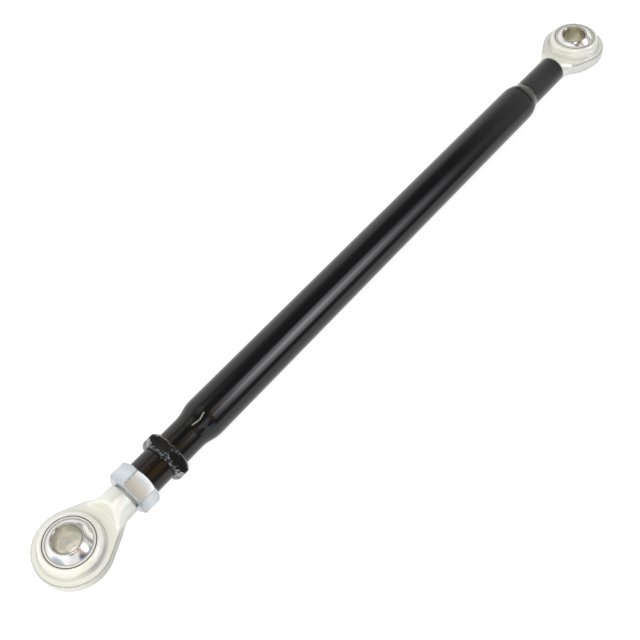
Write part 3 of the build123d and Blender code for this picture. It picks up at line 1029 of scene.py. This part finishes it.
def studio_world():
    """White for the camera and plain for diffuse light. Reflections see a room by their direction:
    a dark ceiling that brightens to the far horizon and to the right, walls and doors left and
    right, a bright soft box and a pale wall on the near side, four patches and a bright streak."""
    world = bpy.data.worlds.new("studio")
    bpy.context.scene.world = world
    world.use_nodes = True
    world.cycles.sampling_method = "NONE"
    tree = world.node_tree
    path = put(tree, "ShaderNodeLightPath").outputs
    way = put(tree, "ShaderNodeTexCoord").outputs["Generated"]
    x, y, z = put(tree, "ShaderNodeSeparateXYZ", {"Vector": way}).outputs
    height = math_node(tree, "ARCTAN2", y, z)
    side = between(tree, height, -math.pi / 2, math.pi / 2, kind="LINEAR")
    room = ramp(tree, side, ROOM_LEVELS)
    above = between(tree, z, -HORIZON, HORIZON)
    far_side = between(tree, x, FAR_CEILING_START, FAR_CEILING_FULL)
    room = mix_colour(tree, math_node(tree, "MULTIPLY", above, far_side), room, FAR_CEILING)
    for start, full, colour in (LEFT_WALL, LEFT_DOOR, RIGHT_DOOR, RIGHT_WALL):
        room = mix_colour(tree, between(tree, x, start, full), room, colour)
    across = math_node(tree, "ARCTAN2", math_node(tree, "MULTIPLY", y, -1.0), z)
    box = ramp(tree, between(tree, across, 0.0, math.pi / 2, kind="LINEAR"), BOX_ACROSS)
    box = mix_colour(tree, 1.0, box, ramp(tree, x, BOX_ALONG), "MULTIPLY")
    room = mix_colour(tree, 1.0, room, mix_colour(tree, 1.0, box, BOX_COLOUR, "MULTIPLY"), "ADD")
    down, left = between(tree, y, *NEAR_WALL_DOWN), between(tree, x, *NEAR_WALL_LEFT)
    room = mix_colour(tree, math_node(tree, "MULTIPLY", down, left), room, NEAR_WALL)
    for place, inner, outer, colour in CORNER_PATCHES:
        patch = cone_mask(tree, way, Vector(place).normalized(), inner, outer)
        room = mix_colour(tree, patch, room, colour)
    off = math_node(tree, "ABSOLUTE", dot_with(tree, way, TUBE_LAMP_SIDE))
    thin = between(tree, off, TUBE_LAMP_EDGE, TUBE_LAMP_CORE)
    reach = cone_mask(tree, way, TUBE_LAMP_MIDDLE, TUBE_LAMP_INNER, TUBE_LAMP_OUTER)
    room = mix_colour(tree, math_node(tree, "MULTIPLY", thin, reach), room, TUBE_LAMP_COLOUR)
    shine = math_node(tree, "MAXIMUM", path["Is Glossy Ray"], path["Is Transmission Ray"])
    colour = mix_colour(tree, shine, PLAIN_LIGHT, room)
    colour = mix_colour(tree, path["Is Camera Ray"], colour, WHITE)
    background = tree.nodes["Background"]
    tree.links.new(colour, background.inputs["Color"])


def softbox(name, place, aim, size, radiance, tint):
    """A rectangular lamp that looks at aim. Its power is its radiance times pi times its area."""
    light = bpy.data.lights.new(name, "AREA")
    light.shape = "RECTANGLE"
    light.size, light.size_y = size[0] * METRES, size[1] * METRES
    light.energy = radiance * math.pi * light.size * light.size_y
    light.color = tint
    obj = bpy.data.objects.new(name, light)
    obj.visible_glossy = False
    bpy.context.scene.collection.objects.link(obj)
    place, aim = Vector(place) * METRES, Vector(aim) * METRES
    back = (place - aim).normalized()
    across = Vector((1, 0, 0))
    up = back.cross(across).normalized()
    across = up.cross(back)
    obj.matrix_world = Matrix.Translation(place) @ Matrix((across, up, back)).transposed().to_4x4()


def photo_camera():
    """The camera at the photograph's place. Its focal length is given in the picture's pixels."""
    data = bpy.data.cameras.new("camera")
    data.sensor_width = SENSOR_WIDTH
    data.lens = CAMERA_FOCAL_PX / PICTURE_PX * data.sensor_width
    data.clip_end = CAMERA_CLIP
    camera = bpy.data.objects.new("camera", data)
    bpy.context.scene.collection.objects.link(camera)
    place, aim = Vector(CAMERA_PLACE) * METRES, Vector(CAMERA_AIM) * METRES
    turn = (aim - place).to_track_quat("-Z", "Y").to_matrix().to_4x4()
    roll = Matrix.Rotation(math.radians(CAMERA_ROLL), 4, "Z")
    camera.matrix_world = Matrix.Translation(place) @ turn @ roll
    bpy.context.scene.camera = camera


# The pieces and the studio

GROUPS = {"grain": grain_group(), "specks": speck_group(), "wear": wear_group()}
ZINC = eye_zinc(GROUPS)
FAR_ROLL = Matrix.Rotation(math.radians(-FAR_EYE_ROLL), 4, "X")
END_FOR_END = Matrix.Rotation(math.pi, 4, "Z")
FAR_PLACE = Matrix.Translation(Vector(FAR_CENTRE)) @ (FAR_ROLL @ END_FOR_END)

make_piece(
    "near_eye_forging",
    eye_sheets() + stud_sheets(NEAR_SHANK_END, NEAR_THREAD_R, NEAR_HIGH[0], 1),
    body="near_rod_end", node="near_rod_end", material=ZINC,
)
make_piece(
    "far_eye_forging",
    eye_sheets() + stud_sheets(FAR_SHANK_END, FAR_THREAD_R, FAR_CENTRE[0] - FAR_LOW[0], -1),
    place=FAR_PLACE, body="far_rod_end", node="far_rod_end", material=ZINC,
)
BALLS = (("near", NEAR_BORE_AXIS, NEAR_CENTRE), ("far", FAR_BORE_AXIS, FAR_CENTRE))
for end, axis, centre in BALLS:
    make_piece(
        end + "_ball_polished", ball_sheets(), place=lean(axis, centre),
        body=end + "_ball", node=end + "_ball",
        material=polished_ball(GROUPS, centre),
    )
make_piece(
    "lock_nut_plated",
    hexagon_sheets(
        NUT_LOW[0], NUT_HIGH[0], NUT_FLATS, NUT_ROLL, NUT_BORE_R, NUT_COUNTERSINK,
        NUT_FACE_SHARE, NUT_CONE_SLOPE, NUT_EDGE_CUT, NO_WEAR,
    ),
    body="lock_nut", node="lock_nut", material=nut_zinc(GROUPS),
)
make_piece(
    "hex_collar_painted",
    hexagon_sheets(
        COLLAR_LOW[0], COLLAR_HIGH[0], COLLAR_FLATS, COLLAR_ROLL, NEAR_NECK_R, 0,
        COLLAR_FACE_SHARE, COLLAR_CONE_SLOPE, COLLAR_EDGE_CUT, COLLAR_WEAR,
    ),
    body="tube", node="hex_collar",
    material=black_paint(GROUPS, "collar_paint", True),
)
make_piece(
    "tube_painted", tube_sheets(),
    body="tube", node="tube",
    material=black_paint(GROUPS, "tube_paint", False),
)

studio_floor()
studio_world()
softbox("long_softbox", LAMP_PLACE, LAMP_AIM, LAMP_SIZE, LAMP_RADIANCE, LAMP_TINT)
photo_camera()
bpy.context.scene.view_settings.view_transform = "Standard"
